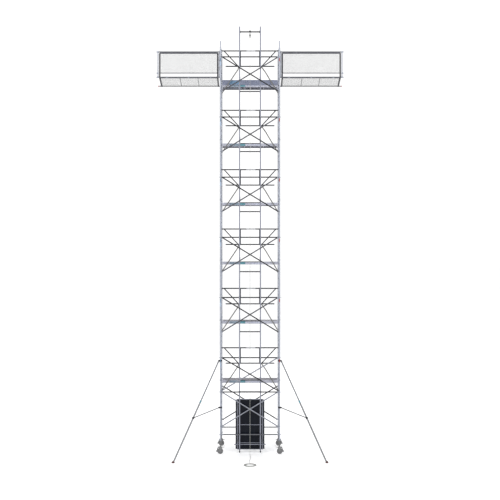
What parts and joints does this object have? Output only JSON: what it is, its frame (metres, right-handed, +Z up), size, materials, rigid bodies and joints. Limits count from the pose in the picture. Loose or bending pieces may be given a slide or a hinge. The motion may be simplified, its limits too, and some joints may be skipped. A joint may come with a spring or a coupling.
{
  "type": "mobile tower scaffold",
  "caption": "Tall mobile aluminium tower scaffold with decks and trapdoors, a rope lift for flat panels, mesh catch wings, outriggers and braked castors.",
  "frame": {"origin": "on the floor, at the middle of the footprint that the outrigger feet and the rear castors span", "axes": "+Z up along the tower; +X along the decks, to the right seen from the lift side; +Y from the lift side towards the rear"},
  "size_m": [6.34, 3.302, 14.22],
  "materials": {
    "frame_aluminium": "satin, ribbed tube, light blue-grey",
    "brace_aluminium": "satin tube",
    "guardrail_aluminium": "satin tube, darker",
    "deck_board": "film-faced plywood in an aluminium side frame",
    "hatch_board": "film-faced plywood trapdoor",
    "toe_board": "satin board",
    "castor_metal": "zinc plated steel",
    "castor_wheel": "grey tread on a moulded rim",
    "brake_pedal": "pressed steel",
    "outrigger_tube": "satin tube",
    "outrigger_strut": "satin tube with black couplers",
    "outrigger_leg": "satin tube",
    "wing_frame": "dark grey coating",
    "wing_mesh": "light welded wire",
    "track_aluminium": "satin section",
    "carriage_aluminium": "satin tube",
    "black_fitting": "black coated steel",
    "panel_glass": "dark glass over cells in a black frame",
    "rope": "braided light rope",
    "rubber_foot": "reddish brown rubber",
    "red_clip": "moulded",
    "blue_clip": "moulded"
  },
  "bodies": {
    "tower": {"left_end_frames": "frame_aluminium", "right_end_frames": "frame_aluminium", "front_brace_1": "brace_aluminium", "advance_guardrail_1": "guardrail_aluminium", "deck_1": "deck_board", "front_brace_2": "brace_aluminium", "advance_guardrail_2": "guardrail_aluminium", "deck_2": "deck_board", "front_brace_3": "brace_aluminium", "advance_guardrail_3": "guardrail_aluminium", "deck_3": "deck_board", "front_brace_4": "brace_aluminium", "advance_guardrail_4": "guardrail_aluminium", "deck_4": "deck_board", "front_brace_5": "brace_aluminium", "advance_guardrail_5": "guardrail_aluminium", "deck_5": "deck_board", "front_brace_6": "brace_aluminium", "advance_guardrail_6": "guardrail_aluminium", "deck_6": "deck_board", "base_brace_front": "brace_aluminium", "base_brace_rear": "brace_aluminium", "base_rail_front": "brace_aluminium", "base_rail_rear": "brace_aluminium", "toe_board": "toe_board", "wing_guard_left": "wing_frame", "wing_guard_right": "wing_frame", "lift_track": "track_aluminium", "lifting_rope": "rope", "hauling_rope": "rope", "rope_coil": "rope"},
    "castor_front_left": {"castor_fork_front_left": "castor_metal"},
    "wheel_front_left": {"castor_wheel_front_left": "castor_wheel"},
    "brake_front_left": {"brake_pedal_front_left": "brake_pedal"},
    "castor_front_right": {"castor_fork_front_right": "castor_metal"},
    "wheel_front_right": {"castor_wheel_front_right": "castor_wheel"},
    "brake_front_right": {"brake_pedal_front_right": "brake_pedal"},
    "castor_rear_left": {"castor_fork_rear_left": "castor_metal"},
    "wheel_rear_left": {"castor_wheel_rear_left": "castor_wheel"},
    "brake_rear_left": {"brake_pedal_rear_left": "brake_pedal"},
    "castor_rear_right": {"castor_fork_rear_right": "castor_metal"},
    "wheel_rear_right": {"castor_wheel_rear_right": "castor_wheel"},
    "brake_rear_right": {"brake_pedal_rear_right": "brake_pedal"},
    "hatch_1": {"hatch_1": "hatch_board"},
    "hatch_2": {"hatch_2": "hatch_board"},
    "hatch_3": {"hatch_3": "hatch_board"},
    "hatch_4": {"hatch_4": "hatch_board"},
    "hatch_5": {"hatch_5": "hatch_board"},
    "hatch_6": {"hatch_6": "hatch_board"},
    "catch_panel_left": {"catch_panel_left": "wing_frame"},
    "catch_panel_right": {"catch_panel_right": "wing_frame"},
    "outrigger_left": {"outrigger_tube_left": "outrigger_tube", "outrigger_strut_left": "outrigger_strut"},
    "outrigger_leg_left": {"outrigger_leg_left": "outrigger_leg"},
    "outrigger_right": {"outrigger_tube_right": "outrigger_tube", "outrigger_strut_right": "outrigger_strut"},
    "outrigger_leg_right": {"outrigger_leg_right": "outrigger_leg"},
    "carriage": {"lift_carriage": "carriage_aluminium", "carried_panel": "panel_glass"},
    "pulley": {"head_pulley": "black_fitting"}
  },
  "joints": [
    {"name": "swivel_front_left", "type": "hinge", "parent": "tower", "child": "castor_front_left", "pos_m": [-0.98, 0.0115, 0.25], "axis": [0, 0, 1], "continuous": true},
    {"name": "roll_front_left", "type": "hinge", "parent": "castor_front_left", "child": "wheel_front_left", "pos_m": [-0.988, 0.0115, 0.1], "axis": [0, 1, 0], "continuous": true},
    {"name": "brake_front_left", "type": "hinge", "parent": "castor_front_left", "child": "brake_front_left", "pos_m": [-1.055, 0.0115, 0.226], "axis": [0, -1, 0], "range_deg": [0, 6]},
    {"name": "swivel_front_right", "type": "hinge", "parent": "tower", "child": "castor_front_right", "pos_m": [0.98, 0.0115, 0.25], "axis": [0, 0, 1], "continuous": true},
    {"name": "roll_front_right", "type": "hinge", "parent": "castor_front_right", "child": "wheel_front_right", "pos_m": [0.988, 0.0115, 0.1], "axis": [0, 1, 0], "continuous": true},
    {"name": "brake_front_right", "type": "hinge", "parent": "castor_front_right", "child": "brake_front_right", "pos_m": [1.055, 0.0115, 0.226], "axis": [0, 1, 0], "range_deg": [0, 6]},
    {"name": "swivel_rear_left", "type": "hinge", "parent": "tower", "child": "castor_rear_left", "pos_m": [-0.98, 1.3615, 0.25], "axis": [0, 0, 1], "continuous": true},
    {"name": "roll_rear_left", "type": "hinge", "parent": "castor_rear_left", "child": "wheel_rear_left", "pos_m": [-0.988, 1.3615, 0.1], "axis": [0, 1, 0], "continuous": true},
    {"name": "brake_rear_left", "type": "hinge", "parent": "castor_rear_left", "child": "brake_rear_left", "pos_m": [-1.055, 1.3615, 0.226], "axis": [0, -1, 0], "range_deg": [0, 6]},
    {"name": "swivel_rear_right", "type": "hinge", "parent": "tower", "child": "castor_rear_right", "pos_m": [0.98, 1.3615, 0.25], "axis": [0, 0, 1], "continuous": true},
    {"name": "roll_rear_right", "type": "hinge", "parent": "castor_rear_right", "child": "wheel_rear_right", "pos_m": [0.988, 1.3615, 0.1], "axis": [0, 1, 0], "continuous": true},
    {"name": "brake_rear_right", "type": "hinge", "parent": "castor_rear_right", "child": "brake_rear_right", "pos_m": [1.055, 1.3615, 0.226], "axis": [0, 1, 0], "range_deg": [0, 6]},
    {"name": "hatch_1_lift", "type": "hinge", "parent": "tower", "child": "hatch_1", "pos_m": [-0.52, 1.0785, 2.38329], "axis": [-1, 0, 0], "range_deg": [0, 85]},
    {"name": "hatch_2_lift", "type": "hinge", "parent": "tower", "child": "hatch_2", "pos_m": [-0.52, 1.0785, 4.38329], "axis": [-1, 0, 0], "range_deg": [0, 85]},
    {"name": "hatch_3_lift", "type": "hinge", "parent": "tower", "child": "hatch_3", "pos_m": [-0.52, 1.0785, 6.38329], "axis": [-1, 0, 0], "range_deg": [0, 85]},
    {"name": "hatch_4_lift", "type": "hinge", "parent": "tower", "child": "hatch_4", "pos_m": [-0.52, 1.0785, 8.38329], "axis": [-1, 0, 0], "range_deg": [0, 85]},
    {"name": "hatch_5_lift", "type": "hinge", "parent": "tower", "child": "hatch_5", "pos_m": [-0.52, 1.0785, 10.38329], "axis": [-1, 0, 0], "range_deg": [0, 85]},
    {"name": "hatch_6_lift", "type": "hinge", "parent": "tower", "child": "hatch_6", "pos_m": [-0.52, 1.0785, 12.38329], "axis": [-1, 0, 0], "range_deg": [0, 85]},
    {"name": "catch_fold_left", "type": "hinge", "parent": "tower", "child": "catch_panel_left", "pos_m": [-2.07, 0.4415, 12.6], "axis": [1, 0, 0], "range_deg": [0, 50]},
    {"name": "catch_fold_right", "type": "hinge", "parent": "tower", "child": "catch_panel_right", "pos_m": [2.07, 0.4415, 12.6], "axis": [1, 0, 0], "range_deg": [0, 50]},
    {"name": "outrigger_swing_left", "type": "hinge", "parent": "tower", "child": "outrigger_left", "pos_m": [-0.98, 0.0115, 3.1], "axis": [0, 0, 1], "range_deg": [-38, 40]},
    {"name": "leg_slide_left", "type": "slide", "parent": "outrigger_left", "child": "outrigger_leg_left", "axis": [0.3876, 0.3586, 0.8492], "range_m": [0, 0.9]},
    {"name": "outrigger_swing_right", "type": "hinge", "parent": "tower", "child": "outrigger_right", "pos_m": [0.98, 0.0115, 3.1], "axis": [0, 0, 1], "range_deg": [-40, 38]},
    {"name": "leg_slide_right", "type": "slide", "parent": "outrigger_right", "child": "outrigger_leg_right", "axis": [-0.3876, 0.3586, 0.8492], "range_m": [0, 0.9]},
    {"name": "carriage_lift", "type": "slide", "parent": "tower", "child": "carriage", "axis": [0, 0, 1], "range_m": [0, 11.9], "deforming": ["lifting_rope"]},
    {"name": "pulley_turn", "type": "hinge", "parent": "tower", "child": "pulley", "pos_m": [0, 0.033, 13.91], "axis": [1, 0, 0], "continuous": true}
  ],
  "couplings": [
    {"joint": "pulley_turn", "follows": "carriage_lift", "rad_per_m": 15.038}
  ]
}
